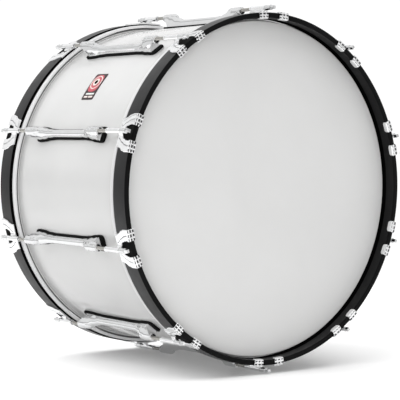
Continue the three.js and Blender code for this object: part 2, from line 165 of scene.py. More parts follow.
def rubber(name, low=0.002, high=0.006, shine=0.08):
    """A dull fine-grained surface."""
    m, n, l, p = new_material(name)
    tone = noise_node(n, l, 120, 5)
    l.new(ramp(n, l, tone.outputs["Fac"], low, high), p.inputs["Base Color"])
    p.inputs["Roughness"].default_value = 0.75
    p.inputs["Specular IOR Level"].default_value = shine
    fine = noise_node(n, l, 900, 3)
    l.new(bump(n, l, fine.outputs["Fac"], 0.25, 0.0002), p.inputs["Normal"])
    return m


def coated_film(name):
    """The head's white coating, with the speckle of its spray."""
    m, n, l, p = new_material(name)
    tone = noise_node(n, l, 6, 6)
    l.new(ramp(n, l, tone.outputs["Fac"], (0.522, 0.522, 0.519), (0.545, 0.545, 0.542)), p.inputs["Base Color"])
    speck = noise_node(n, l, 420, 4)
    l.new(ramp(n, l, speck.outputs["Fac"], 0.55, 0.75), p.inputs["Roughness"])
    l.new(bump(n, l, speck.outputs["Fac"], 0.2, 0.0003), p.inputs["Normal"])
    return m


def enamel(name, low, high, rough):
    """The badge's fired colours."""
    m, n, l, p = new_material(name)
    tone = noise_node(n, l, 160, 4)
    l.new(ramp(n, l, tone.outputs["Fac"], low, high), p.inputs["Base Color"])
    l.new(bump(n, l, tone.outputs["Fac"], 0.1, 0.0002), p.inputs["Normal"])
    p.inputs["Roughness"].default_value = rough
    return m


# Tones run from low to high; the numbers after them are roughness, grain, coat and shine.
WHITE = lacquer("white_lacquer", (0.425, 0.425, 0.423), (0.443, 0.443, 0.441), 0.22, 300)
BLACK = lacquer("black_lacquer", (0.005, 0.005, 0.0055), (0.009, 0.009, 0.0095), 0.34, 220, 0.0, 0.3)
# Copies of the hoop's black for painted shade: duller on the inner wall, darker and duller still on the front face,
# near black in the shade of corners, gaps and bores.
FACE_SHADE = lacquer("black_face_painted_shade", (0.002, 0.002, 0.0021), (0.004, 0.004, 0.0042), 0.4, 220, 0.0, 0.07)
WALL = lacquer("black_inner_lacquer", (0.003, 0.003, 0.0032), (0.006, 0.006, 0.0063), 0.42, 220, 0.0, 0.15)
SHADE_BLACK = rubber("black_painted_shade", 0.0005, 0.0012, 0.01)
# A grey line on the film's hem: painted shadow of the gap under the metal hoop.
HEM_SHADOW = rubber("painted_hem_shadow", 0.10, 0.14, 0.05)
CHROME = chrome("chrome_claw", (0.97, 0.975, 0.98), 0.06)
CAST = chrome("chrome_lug", (0.79, 0.795, 0.80), 0.07)
STEEL = chrome("chrome_steel", (0.79, 0.795, 0.80), 0.14)
GROOVE = chrome("groove_shade", (0.6, 0.605, 0.61), 0.3)
# Painted shade for recesses: the claws' pockets and the lugs' mouths.
RECESS_SHADE = chrome("painted_recess_shade", (0.09, 0.09, 0.092), 0.35)
DARKER = chrome("dull_nickel", (0.46, 0.45, 0.425), 0.25)
# A pale, dull copy on the lugs' end faces: painted light where the overhanging ends lie in shade.
LIT_END = lacquer("painted_light_casting", (0.72, 0.72, 0.725), (0.76, 0.76, 0.765), 0.5, 260, 0.0, 0.4)
SILVER = lacquer("silver_enamel", (0.43, 0.43, 0.434), (0.46, 0.46, 0.464), 0.38, 260, 0.0, 0.4)
# A brighter copy of the silver for the flesh ring's back face: painted light.
SILVER_LIT = lacquer("silver_enamel_painted_light", (0.60, 0.60, 0.604), (0.64, 0.64, 0.644), 0.42, 260, 0.0, 0.4)
# Black rubber for the lugs' gaskets; the same black on the thin sheet under each claw is painted shadow.
RUBBER_AND_SHADOW = rubber("gasket_rubber_and_pad_shadow")
FILM = coated_film("coated_film")
RED = enamel("red_enamel", (0.32, 0.036, 0.055), (0.37, 0.048, 0.066), 0.3)
PLUM = enamel("plum_enamel", (0.014, 0.005, 0.006), (0.024, 0.009, 0.011), 0.45)
PALE = enamel("pale_enamel", (0.48, 0.51, 0.49), (0.56, 0.59, 0.57), 0.35)
CREAM = enamel("cream_enamel", (0.50, 0.43, 0.40), (0.57, 0.51, 0.48), 0.35)


# Mesh helpers. All points are in millimetres; a station is a distance from the drum's middle toward an end.
MM = 0.001
SMOOTH = 32.0
RING_STEPS = 288
CORNER_SHARE = 0.45
WELD = 1e-6
QUARTER = math.pi / 2
ENDS = ((False, "front"), (True, "rear"))


def finish_mesh(name, verts, faces, mats, angle=SMOOTH, index=None):
    """A mesh in metres, smooth up to the given angle; index maps a face to a material slot other than 0."""
    mesh = bpy.data.meshes.new(name)
    mesh.from_pydata([(x * MM, y * MM, z * MM) for x, y, z in verts], [], faces)
    bm = bmesh.new()
    bm.from_mesh(mesh)
    if index:
        bm.faces.ensure_lookup_table()
        for i, k in index.items():
            bm.faces[i].material_index = k
    bmesh.ops.remove_doubles(bm, verts=bm.verts, dist=WELD)
    bmesh.ops.recalc_face_normals(bm, faces=bm.faces)
    bm.to_mesh(mesh)
    bm.free()
    for m in mats:
        mesh.materials.append(m)
    mesh.shade_smooth()
    mesh.set_sharp_from_angle(angle=math.radians(angle))
    return mesh


def add_object(name, mesh, matrix=None):
    """An object at the origin; with a matrix, its own copy of the mesh is carried to its place."""
    if matrix is not None:
        mesh = mesh.copy()
        mesh.name = name
        mesh.transform(matrix)
    o = bpy.data.objects.new(name, mesh)
    bpy.context.scene.collection.objects.link(o)
    return o


def dress(name, mesh, matrix, body, node):
    """A visible piece that rides on a body and takes the place of a node."""
    o = add_object(name, mesh, matrix)
    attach(o, body)
    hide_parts(node)


def bands(rings, count, closed=False):
    """Faces between neighbouring rings of count points each; closed joins the last ring to the first."""
    faces = []
    for j in range(rings if closed else rings - 1):
        k = (j + 1) % rings
        for i in range(count):
            n = (i + 1) % count
            faces.append((j * count + i, j * count + n, k * count + n, k * count + i))
    return faces


def caps(rings, count):
    """One face over the first ring and one over the last."""
    return [tuple(range(count)), tuple(range((rings - 1) * count, rings * count))]


def lathe(name, profile, mats, segments=RING_STEPS, angle=SMOOTH, centre=0.0, pick=None):
    """A ring about the drum's axis, or about a line that lies centre above it.

    pick gives the material slot of a face from the two (radius, station) points that it runs between."""
    verts = []
    for i in range(segments):
        a = 2 * math.pi * i / segments
        verts += [(r * math.sin(a), -s, centre + r * math.cos(a)) for r, s in profile]
    k = len(profile)
    faces = bands(segments, k, True)
    index = {f: pick(profile[f % k], profile[(f + 1) % k]) for f in range(len(faces))} if pick else None
    return finish_mesh(name, verts, faces, mats, angle, index)


def rounded(points, radius, steps=4):
    """A closed outline with every corner rounded off."""
    out = []
    n = len(points)
    for i in range(n):
        p, a, b = Vector(points[i]), Vector(points[i - 1]), Vector(points[(i + 1) % n])
        r = radius[i] if isinstance(radius, (list, tuple)) else radius
        if r <= 0:
            out.append(tuple(p))
            continue
        u, v = (a - p), (b - p)
        d = min(r, u.length * CORNER_SHARE, v.length * CORNER_SHARE)
        p0, p1 = p + u.normalized() * d, p + v.normalized() * d
        for s in range(steps + 1):
            t = s / steps
            out.append(tuple(p0 * (1 - t) ** 2 + p * 2 * t * (1 - t) + p1 * t ** 2))
    return out


def section(rows, steps):
    """A closed outline from rows of (radius, station, rounding)."""
    return rounded([row[:2] for row in rows], [row[2] for row in rows], steps)


def joined(name, meshes):
    """One mesh of several closed shells that share their material slots."""
    bm = bmesh.new()
    slots = []
    for mesh in meshes:
        for m in mesh.materials:
            if m not in slots:
                slots.append(m)
    for mesh in meshes:
        start = len(bm.faces)
        bm.from_mesh(mesh)
        bm.faces.ensure_lookup_table()
        for f in bm.faces[start:]:
            f.material_index = slots.index(mesh.materials[f.material_index])
    out = bpy.data.meshes.new(name)
    bm.to_mesh(out)
    bm.free()
    for m in slots:
        out.materials.append(m)
    return out


def end_matrix(rear):
    return Matrix.Rotation(math.pi, 4, "Z") if rear else Matrix.Identity(4)


def lug_matrix(i, rear=False):
    return Matrix.Rotation(2 * math.pi * i / LUGS, 4, "Y") @ end_matrix(rear)


def places():
    """(key, matrix) of the ten places at each end, named from the top one on."""
    return [(f"{end}_{i + 1:02d}", lug_matrix(i, rear)) for rear, end in ENDS for i in range(LUGS)]


def sampled(table, x):
    """Smooth interpolation through (x, value) pairs."""
    if x <= table[0][0]:
        return table[0][1]
    for (x0, v0), (x1, v1) in zip(table, table[1:]):
        if x <= x1:
            t = (x - x0) / (x1 - x0)
            t = t * t * (3 - 2 * t)
            return v0 + (v1 - v0) * t
    return table[-1][1]


def middle(a, b):
    return (a[0] + b[0]) / 2, (a[1] + b[1]) / 2


# Shell, hoops and heads. A section is made of rows of radius, station and rounding.
BEVEL, BEVEL_LAND = 5.5, 0.2
SHELL_SECTION = ((SHELL_R, SHELL_EDGE - BEVEL_LAND, 1.6), (SHELL_BORE, SHELL_EDGE - BEVEL, 0),
                 (SHELL_BORE, BEVEL - SHELL_EDGE, 0), (SHELL_R, BEVEL_LAND - SHELL_EDGE, 1.6))
HOOP_SECTION = ((HOOP_OUT, HOOP_FRONT, 2.2), (HOOP_OUT, HOOP_BACK, 4.4), (HOOP_IN, HOOP_BACK, 0.8),
                (HOOP_IN, CORNER_SHADE_EDGE, 0.0), (HOOP_IN, HOOP_FRONT, 2.2))
FLESH_LOW = FLESH_OUT - 1.2
FLESH_SECTION = ((FLESH_OUT, FLESH_FRONT, 1.9), (FLESH_OUT, FLESH_SHADOW_EDGE, 0.3), (FLESH_LOW, FLESH_SHADOW_EDGE, 0.3),
                 (FLESH_LOW, FLESH_BACK, 1.3), (FLESH_IN, FLESH_BACK, 0.9), (FLESH_IN, FLESH_FRONT, 0.8))
COLLAR_OUT, COLLAR_IN = 305.6, 305.1
HEM_OUT, HEM_FRONT, HEM_BACK = 309.6, 165.3, 164.8
FILM_THICK = 0.5
DRILL_LENGTH, DRILL_HEIGHT = 50, 302


def painted_hem_shadow(a, b):
    """A dark line painted on the film's hem where it runs in under its metal hoop: painted shadow of the gap there."""
    radius, station = middle(a, b)
    return 1 if radius > HEM_SHADOW_IN and station < HEM_SHADOW_FRONT else 0


def flesh_finish(a, b):
    """Silver, with a brighter copy on the ring's back face as painted light, and the part next to the rear counterhoop
    near black as painted shadow of the gap there.
    """
    radius, station = middle(a, b)
    if station < FLESH_BACK + FACE_DEPTH and radius < FLESH_OUT - FACE_RIM:
        return 2
    return 1 if radius > FLESH_IN + FLESH_SHADOW_IN and station > FLESH_SHADOW_EDGE - HAIR else 0


def hoop_finish(a, b):
    """Lacquer outside; round the front a darker, duller copy as painted shade; lacquer inside, down to a near-black
    painted shade in the corner.
    """
    radius, station = middle(a, b)
    if station > HOOP_FRONT - FACE_SHADE_DEPTH and radius < HOOP_OUT - HAIR:
        return 1
    if radius > HOOP_OUT - OUTER_DEPTH:
        return 0
    return 2 if station > CORNER_SHADE_EDGE else 3


def rear_hoop_finish(a, b):
    """The same, with the corner's near-black painted shade run over the back edge, for its shadow beside the flesh
    ring.
    """
    return 3 if middle(a, b)[1] < HOOP_BACK + BACK_SHADE else hoop_finish(a, b)


def vented(mesh):
    """The shell's mesh with the vent bored through it under the eyelet."""
    body = bpy.data.objects.new("uncut", mesh)
    bm = bmesh.new()
    bmesh.ops.create_cone(bm, cap_ends=True, segments=40, radius1=VENT_R * MM, radius2=VENT_R * MM,
                          depth=DRILL_LENGTH * MM)
    drill_mesh = bpy.data.meshes.new("drill")
    bm.to_mesh(drill_mesh)
    bm.free()
    lift = Matrix.Translation((0, 0, DRILL_HEIGHT * MM))
    drill_mesh.transform(Matrix.Rotation(math.radians(VENT_TURN), 4, "Y") @ lift)
    drill = bpy.data.objects.new("drill", drill_mesh)
    for o in (body, drill):
        bpy.context.scene.collection.objects.link(o)
    cut = body.modifiers.new("vent", "BOOLEAN")
    cut.operation, cut.solver, cut.object = "DIFFERENCE", "EXACT", drill
    out = bpy.data.meshes.new_from_object(body.evaluated_get(bpy.context.evaluated_depsgraph_get()))
    for o in (body, drill):
        bpy.data.objects.remove(o)
    out.name = "shell_lacquered"
    return out


def film_profile():
    """The playing face, the collar round the bearing edge and the turned-out hem in the metal hoop."""
    face = [(r, FILM_OUT) for r in (0.0, 60, 180, 302.6)]
    collar = [(304.2, FILM_OUT - 0.35), (305.2, FILM_OUT - 1.2), (COLLAR_OUT, FILM_OUT - 2.6), (COLLAR_OUT, 172),
              (COLLAR_OUT, HEM_FRONT + 0.6)]
    hem = [(COLLAR_OUT + 0.5, HEM_FRONT), (HEM_OUT, HEM_FRONT), (HEM_OUT, HEM_BACK), (HEM_SHADOW_IN, HEM_BACK),
           (COLLAR_IN, HEM_BACK)]
    inside = [(COLLAR_IN, FILM_OUT - 2.4), (303.6, FILM_OUT - FILM_THICK), (0.0, FILM_OUT - FILM_THICK)]
    return face + collar + hem + inside


def make_rings():
    shell = lathe("shell_uncut", section(SHELL_SECTION, 5), [WHITE])
    dress("shell_lacquered", vented(shell), None, "drum", "shell")
    for rear, end in ENDS:
        m = end_matrix(rear)
        hoop = lathe("counterhoop_lacquered_" + end, section(HOOP_SECTION, 7), [BLACK, FACE_SHADE, WALL, SHADE_BLACK],
                     pick=rear_hoop_finish if rear else hoop_finish)
        dress("counterhoop_lacquered_" + end, hoop, m, "drum", "counterhoop_" + end)
        flesh = lathe("flesh_ring_" + end, section(FLESH_SECTION, 6), [SILVER, SHADE_BLACK, SILVER_LIT],
                      pick=flesh_finish if rear else None)
        dress("flesh_ring_" + end, flesh, m, "drum", "flesh_hoop_" + end)
        film = lathe("film_" + end, film_profile(), [FILM, HEM_SHADOW], angle=25, pick=painted_hem_shadow)
        dress("film_" + end, film, m, "drum", "head_" + end)


# Claws. The plate runs from the bridge over the hoop's front edge and ends in the lips; rows cross it.
BEND, HOOK_WALL, HOOK_GAP = 210.8, 4.0, 0.8
HOOK_TOP, HOOK_LOW = 317.8, 309.3
PLATE_ROWS, BEND_ROWS = 40, 8
HALF_OUT = [(173.2, 24.6), (178, 25.0), (184, 27.0), (193, 32.2), (201, 34.4), (206, 34.5), (240, 34.5)]
HALF_IN = [(195.2, 12.0), (200, 13.8), (204, 14.4), (210.8, 13.4)]
SLOT_MOUTH, SLOT_ROUND = 5.0, 7.0
TAB_IN, TAB_OUT, TAB_CORNER, TAB_MIDDLE = 13.4, 34.5, 2.4, 23.5
CREASE = [(173, 8.0), (180, 11.0), (190, 17.5), (200, 22.0), (207, 23.5)]
CREASE_HALF, CREASE_DEPTH, CREASE_START, CREASE_END = 0.85, 1.3, 177, 209
BESIDE_DROP, BESIDE_REACH = 0.5, 7.0
EDGE_DROP, EDGE_REACH = 1.1, 2.2
BACK_DROP, BACK_ROWS = 0.9, 3
DEEPEST = 2.6
ARM_STEPS = 14
SHADE_POCKET, SHADE_MIDDLE, MIDDLE_FROM, MIDDLE_TO = 0.75, 0.45, 2, 7
NO_EDGE = 99.0
POCKET_PLACES, POCKET_HALF, POCKET_WALL = (-7.5, 0.0, 7.5), 2.9, 3.5
POCKET_ROWS = ((-0.6, 1.6, 1.3), (4.6, 1.5, 1.3), (10.2, 1.4, 1.1))


def claw_rows():
    """(inner point, outer point) of each row, as (station, radius), from the bridge to the lip's end."""
    rows = []
    for i in range(PLATE_ROWS + 1):
        s = HOOP_BACK + (BEND - HOOP_BACK) * i / PLATE_ROWS
        rows.append(((s, PLATE_UNDER), (s, PLATE_TOP)))
    for i in range(1, BEND_ROWS):
        c, u = math.sin(QUARTER * i / BEND_ROWS), math.cos(QUARTER * i / BEND_ROWS)
        rows.append(((BEND + HOOK_GAP * c, HOOK_TOP + HOOK_GAP * u), (BEND + HOOK_WALL * c, HOOK_TOP + HOOK_WALL * u)))
    for i in range(BEND_ROWS + 1):
        r = HOOK_TOP - (HOOK_TOP - HOOK_LOW) * i / BEND_ROWS
        rows.append(((BEND + HOOK_GAP, r), (BEND + HOOK_WALL, r)))
    for i in range(1, BEND_ROWS):
        c, u = math.cos(QUARTER * i / BEND_ROWS), math.sin(QUARTER * i / BEND_ROWS)
        rows.append(((BEND + HOOK_GAP * c, HOOK_LOW - HOOK_GAP * u),
                     (BEND + HOOK_WALL * c, HOOK_LOW - (HOOK_LOW - LIP_IN) * u)))
    for i in range(BEND_ROWS + 1):
        s = BEND - (BEND - LIP_BACK) * i / BEND_ROWS
        rows.append(((s, HOOK_LOW - HOOK_GAP), (s, LIP_IN)))
    return rows


def claw_half_widths(j, rows, path):
    """How far the slot and the outline lie from the claw's middle line at row j."""
    s = rows[j][1][0]
    if j <= PLATE_ROWS:
        outer = sampled(HALF_OUT, s)
        ds = s - BRIDGE_FRONT
        if ds < 0:
            return 0.0, outer
        if ds < SLOT_ROUND:
            return SLOT_MOUTH + math.sqrt(max(0.0, SLOT_ROUND ** 2 - (SLOT_ROUND - ds) ** 2)), outer
        return sampled(HALF_IN, s), outer
    short = max(0.0, TAB_CORNER - (path[-1] - path[j]))
    tuck = TAB_CORNER - math.sqrt(TAB_CORNER ** 2 - short ** 2)
    return TAB_IN + tuck, TAB_OUT - tuck


def pocket(x, t):
    """Depth of the 3 by 3 pockets over the hook; t runs along the plate from the middle of its bend."""
    for px in POCKET_PLACES:
        for pt, wide, deep in POCKET_ROWS:
            dx, dt = abs(x - TAB_MIDDLE - px) / POCKET_HALF, abs(t - pt) / wide
            if dx < 1 and dt < 1:
                return deep * min(1.0, (1 - max(dx, dt)) * POCKET_WALL)
    return 0.0


def claw_columns(x0, x1, crease):
    """Places across one arm, with a narrow pair of strips along the crease."""
    low, high = crease - CREASE_HALF, crease + CREASE_HALF
    out = [x0 + (low - x0) * i / ARM_STEPS for i in range(ARM_STEPS)]
    out += [low, crease, high]
    return out + [high + (x1 - high) * i / ARM_STEPS for i in range(1, ARM_STEPS + 1)]


def creased(j, rows):
    return j <= PLATE_ROWS and CREASE_START < rows[j][1][0] < CREASE_END


def claw_drop(x, x0, x1, crease, grooved, i, j):
    """How far the outer face lies below the plate's full height, before the pockets."""
    edge = min((x - x0) if x0 > 0 else NO_EDGE, x1 - x)
    drop = EDGE_DROP * max(0.0, 1 - edge / EDGE_REACH) ** 2
    if j < BACK_ROWS:
        drop = max(drop, BACK_DROP * (1 - j / BACK_ROWS) ** 2)
    if grooved and i == ARM_STEPS + 1:
        drop += CREASE_DEPTH
    if grooved and x > crease + CREASE_HALF:
        drop += BESIDE_DROP * max(0.0, 1 - (x - crease) / BESIDE_REACH)
    return drop


def on_hoop(x, station, radius):
    """The point that lies x round the hoop's outer surface from the claw's middle line."""
    a = x / HOOP_OUT
    return radius * math.sin(a), -station, radius * math.cos(a)


def claw_mesh():
    rows = claw_rows()
    path = [0.0]
    for a, b in zip(rows, rows[1:]):
        path.append(path[-1] + math.dist(a[1], b[1]))
    bend = path[PLATE_ROWS + BEND_ROWS // 2]
    verts, faces, dark = [], [], {}
    for side in (1, -1):
        base = len(verts)
        layout = []
        for j, (inner, outer) in enumerate(rows):
            x0, x1 = claw_half_widths(j, rows, path)
            crease = sampled(CREASE, outer[0]) if j <= PLATE_ROWS else TAB_MIDDLE
            columns = claw_columns(x0, x1, crease)
            layout.append(columns)
            for i, x in enumerate(columns):
                drop = claw_drop(x, x0, x1, crease, creased(j, rows), i, j) + pocket(x, path[j] - bend)
                down = Vector((inner[0] - outer[0], inner[1] - outer[1]))
                q = Vector(outer) + down * (min(drop, DEEPEST) / down.length)
                verts.append(on_hoop(side * x, q[0], q[1]))
                verts.append(on_hoop(side * x, inner[0], inner[1]))
        cols = len(layout[0]) - 1
        w = (cols + 1) * 2
        for j in range(len(rows) - 1):
            t = (path[j] + path[j + 1]) / 2 - bend
            for i in range(cols):
                a = base + j * w + i * 2
                x = (layout[j][i] + layout[j][i + 1]) / 2
                # Crease faces take the painted groove shade, and the deeper faces of the pockets the painted recess
                # shade.
                if creased(j, rows) and i in (ARM_STEPS, ARM_STEPS + 1):
                    dark[len(faces)] = 2
                elif pocket(x, t) > (SHADE_MIDDLE if MIDDLE_FROM < t < MIDDLE_TO else SHADE_POCKET):
                    dark[len(faces)] = 1
                faces.append((a, a + 2, a + w + 2, a + w))
                faces.append((a + 1, a + w + 1, a + w + 3, a + 3))
            a = base + j * w
            b = a + cols * 2
            faces.append((b, b + 1, b + w + 1, b + w))
            if claw_half_widths(j + 1, rows, path)[0] > 0:
                faces.append((a, a + w, a + w + 1, a + 1))
        for i in range(cols):
            a = base + i * 2
            z = base + (len(rows) - 1) * w + i * 2
            faces.append((a, a + 1, a + 3, a + 2))
            faces.append((z, z + 2, z + 3, z + 1))
    return finish_mesh("claw_plate", verts, faces, [CHROME, RECESS_SHADE, GROOVE], angle=40, index=dark)


BOSS_BORE, BOSS_LIP, BOSS_BACK = 3.5, 5.2, 148.2
BOSS_SECTION = ((BOSS_BORE, BOSS_BACK, 0.3), (BOSS_LIP, BOSS_BACK, 1.0), (BOSS_LIP, 151.4, 0.5), (4.5, 151.8, 0.5),
                (4.7, 187.2, 0.8), (4.2, BRIDGE_FRONT, 0.3), (BOSS_BORE, BRIDGE_FRONT, 0.2))


def boss_mesh():
    """The tube on the bridge that the tension rod runs through."""
    return lathe("claw_boss", section(BOSS_SECTION, 3), [CHROME], 32, centre=ROD_AXIS)


SHADOW_PAD_LOW, SHADOW_PAD_TOP, SHADOW_PAD_HALF = 318.36, 318.55, 16.0
SHADOW_PAD_BACK, SHADOW_PAD_LENGTH = 187.0, 23.4


def shadow_pad_mesh():
    """A thin black sheet between the claw and the hoop, seen in the claw's slot: painted shadow where the claw shades
    the hoop.
    """
    rows, cols = 7, 17
    stations = [SHADOW_PAD_BACK + SHADOW_PAD_LENGTH * i / (rows - 1) for i in range(rows)]
    across = [-SHADOW_PAD_HALF + 2 * SHADOW_PAD_HALF * i / (cols - 1) for i in range(cols)]
    verts = [on_hoop(x, s, r) for r in (SHADOW_PAD_LOW, SHADOW_PAD_TOP) for s in stations for x in across]
    layer = cols * rows
    faces = []
    for j in range(rows - 1):
        for i in range(cols - 1):
            a = j * cols + i
            faces.append((a, a + cols, a + cols + 1, a + 1))
            faces.append((layer + a, layer + a + 1, layer + a + cols + 1, layer + a + cols))
    rim = list(range(cols)) + [j * cols + cols - 1 for j in range(1, rows)]
    rim += [(rows - 1) * cols + i for i in range(cols - 2, -1, -1)] + [j * cols for j in range(rows - 2, 0, -1)]
    for a, b in zip(rim, rim[1:] + rim[:1]):
        faces.append((a, b, b + layer, a + layer))
    return finish_mesh("claw_shadow_pad", verts, faces, [RUBBER_AND_SHADOW], angle=30)


# (station, half width, top radius) of the foot under the boss.
WEB = ((173.6, 7.0, 326.0), (176, 9.0, 327.5), (182, 9.6, 328.0), (187.0, 9.0, 328.0), (188.0, 7.5, 327.6))
WEB_BASE, WEB_SUNK, WEB_STEPS = 320.6, 319.6, 12
WEB_POWER, WEB_PINCH = 1.7, 0.15


def web_mesh():
    """The foot that carries the boss on the bridge, swept from wide at the plate to narrow at the boss."""
    verts = []
    for s, spread, top in WEB:
        for i in range(WEB_STEPS + 1):
            t = i / WEB_STEPS * 2 - 1
            up = (1 - abs(t)) ** WEB_POWER
            x = t * spread if abs(t) > 0.5 else t * spread * (1 - WEB_PINCH + 2 * WEB_PINCH * abs(t))
            verts.append((x, -s, WEB_BASE + (top - WEB_BASE) * up))
        verts += [(spread, -s, WEB_SUNK), (-spread, -s, WEB_SUNK)]
    count = WEB_STEPS + 3
    return finish_mesh("claw_web", verts, bands(len(WEB), count) + caps(len(WEB), count), [CHROME], angle=50)


def make_claws():
    mesh, shadow_pad = joined("claw_cast", [claw_mesh(), boss_mesh(), web_mesh()]), shadow_pad_mesh()
    for key, matrix in places():
        dress("claw_cast_" + key, mesh, matrix, "drum", "claw_" + key)
        dress("claw_shadow_pad_" + key, shadow_pad, matrix, "drum", "claw_" + key)


# Tension rods.
ROD_R, THREAD_ROOT, THREAD_STEP = 3.175, 2.75, 0.75
ROD_END, THREAD_START, THREAD_END = 98.2, 100.0, 145.0
KEY_HALF, KEY_ROUND = 3.15, 0.9
SHANK_SECTION = ((ROD_R, THREAD_END, 0.1), (ROD_R, 188.5, 0.1), (4.6, 188.5, 0.3), (4.9, 189.3, 0.3),
                 (4.9, 194.4, 0.4), (4.35, 195.2, 0.4), (4.35, 203.5, 0.4), (4.9, 204.2, 0.3), (4.9, 205.2, 0.3),
                 (4.5, 205.5, 0.2), (0.0, 205.5, 0))
# (station, share of the full square) up to the key's worn end.
KEY_LEVELS = ((204.0, 1.0), (213.2, 1.0), (214.1, 0.93), (214.5, 0.78))


def rod_mesh():
    """The threaded end, the turned shank with its collar, and the square key."""
    turns = round((THREAD_END - THREAD_START) / THREAD_STEP)
    thread = [(ROD_R if i % 2 else THREAD_ROOT, THREAD_START + i * THREAD_STEP) for i in range(turns)]
    outline = [(0.0, ROD_END), (2.6, ROD_END)] + thread + [(3.0, THREAD_END), (0.0, THREAD_END)]
    cut = lathe("rod_thread", outline, [DARKER], 28, centre=ROD_AXIS)
    shank = [(0.0, THREAD_END)] + section(SHANK_SECTION, 2)
    turned = lathe("rod_turned", shank, [STEEL], 28, centre=ROD_AXIS)
    h = KEY_HALF
    square = rounded([(h, h), (-h, h), (-h, -h), (h, -h)], KEY_ROUND, 3)
    verts = [(x * k, -s, ROD_AXIS + z * k) for s, k in KEY_LEVELS for x, z in square]
    rings, count = len(KEY_LEVELS), len(square)
    key = finish_mesh("rod_key", verts, bands(rings, count) + caps(rings, count), [STEEL], angle=30)
    return joined("key_rod", [turned, key, cut])


def make_rods():
    mesh = rod_mesh()
    for key, matrix in places():
        dress("key_rod_" + key, mesh, matrix, "rod_" + key, "tension_rod_" + key)


# Lugs. The bar is a loft; a share runs from its middle, 0, to either end, 1.
RISE = [(0.0, 0.0), (0.36, 0.0), (0.5, 0.06), (0.62, 0.34), (0.74, 0.84), (0.83, 1.0), (1.0, 0.97)]
SPREAD = [(0.0, 0.0), (0.38, 0.0), (0.55, 0.25), (0.7, 0.8), (0.82, 1.0), (1.0, 0.95)]
END_FACE = [(0.0, 0.0), (0.3, 0.12), (0.55, 0.5), (0.8, 0.95), (1.0, 1.0)]
LUG_LOW, LUG_HIGH = 11.8, 25.45
LUG_SLIM, LUG_WIDER = 14.0, 10.0
SLANT, SLANT_SHARE = 20.0, 0.2
LUG_STEPS, LUG_ARC = 60, 26
LUG_SUNK = 0.3
BARREL_AXIS, BARREL_R, NOSE_R = 327.2, 7.5, 7.3
NOSE_STATION, NOSE_LENGTH, NOSE_STEPS = 92.0, 12.0, 10
MOUTH_R, MOUTH_FLOOR, MOUTH_SLACK = 6.2, 108.5, 0.05
BARREL_SECTION = ((BARREL_R, 112.0, 2.0), (BARREL_R, 119.9, 0.6), (6.9, LUG_END, 0.5), (MOUTH_R, LUG_END, 0.4),
                  (5.9, MOUTH_FLOOR, 0.3), (0.0, MOUTH_FLOOR, 0))
NUT_BORE, NUT_R = 3.5, 4.7
NUT_SECTION = ((NUT_BORE, 96.0, 0), (NUT_R, 96.0, 0.3), (NUT_R, 118.4, 0.5), (4.1, 119.2, 0.3), (NUT_BORE, 119.2, 0.2))
SQUARE_POWER, POWER_LOSS = 2.6, 0.4
GASKET_SHARE, GASKET_RIM, GASKET_STEPS = 0.87, 2.5, 40
END_ACROSS, END_ALONG, END_STEPS = 6.5, 7.2, 6
# (radius, inset) of the gasket's foot, side and rounded top.
GASKET_LEVELS = ((305.1, 0.0), (308.4, 0.0), (309.1, 0.5), (GASKET_TOP, 1.2))
PAST_BARREL = 100


def lug_section(share):
    """The bar's outline over its base and its height, at a share of the way to the end."""
    height = LUG_LOW + (LUG_HIGH - LUG_LOW) * sampled(RISE, share)
    half = (LUG_SLIM + LUG_WIDER * sampled(SPREAD, share)) / 2
    power = SQUARE_POWER - POWER_LOSS * sampled(RISE, share)
    points = []
    for i in range(LUG_ARC + 1):
        a = math.pi * i / LUG_ARC
        c = math.cos(a)
        points.append((half * math.copysign(abs(c) ** (2 / power), c),
                       height * max(0.0, math.sin(a)) ** (2 / power)))
    return points, height


def lug_mesh():
    """The bar, bent to the shell at its foot, with ends that slant back toward the gasket."""
    verts = []
    for i in range(-LUG_STEPS, LUG_STEPS + 1):
        f = i / LUG_STEPS
        points, height = lug_section(abs(f))
        lean = max(0.0, (abs(f) - (1 - SLANT_SHARE)) / SLANT_SHARE)
        station = abs(f) * LUG_END
        for x, up in points:
            s = station - SLANT * lean * (1 - sampled(END_FACE, up / height))
            sag = math.sqrt(GASKET_TOP ** 2 - x * x) - GASKET_TOP
            z = GASKET_TOP + up + sag * (1 - up / height) - (LUG_SUNK if up <= 0 else 0.0)
            verts.append((x, math.copysign(s, f) if f else 0.0, z))
    rings, k = 2 * LUG_STEPS + 1, LUG_ARC + 1
    faces = bands(rings, k)
    # The end faces take the pale copy: painted light.
    ends = {}
    for base in (0, (rings - 1) * k):
        for i in range(k // 2):
            ends[len(faces)] = 1
            faces.append((base + i, base + i + 1, base + k - 2 - i, base + k - 1 - i))
    return finish_mesh("lug_loft", verts, faces, [CAST, LIT_END], angle=38, index=ends)


def mouth(a, b):
    """Painted shade inside the barrel's open end, and not on its nose."""
    return 1 if max(a[0], b[0]) < MOUTH_R + MOUTH_SLACK and min(a[1], b[1]) > PAST_BARREL else 0


def lug_barrel():
    """The round boss at one end: a rounded nose on the bar, a lip and the open mouth round the swivel nut."""
    turns = [QUARTER * i / NOSE_STEPS for i in range(NOSE_STEPS + 1)]
    nose = [(NOSE_R * math.sin(a), NOSE_STATION - NOSE_LENGTH * math.cos(a)) for a in turns]
    return lathe("lug_barrel", nose + section(BARREL_SECTION, 3), [CAST, RECESS_SHADE], 48, centre=BARREL_AXIS, pick=mouth)


def mirrored_ends(name, mesh):
    other = mesh.copy()
    other.transform(Matrix.Rotation(math.pi, 4, "Z"))
    return joined(name, [mesh, other])


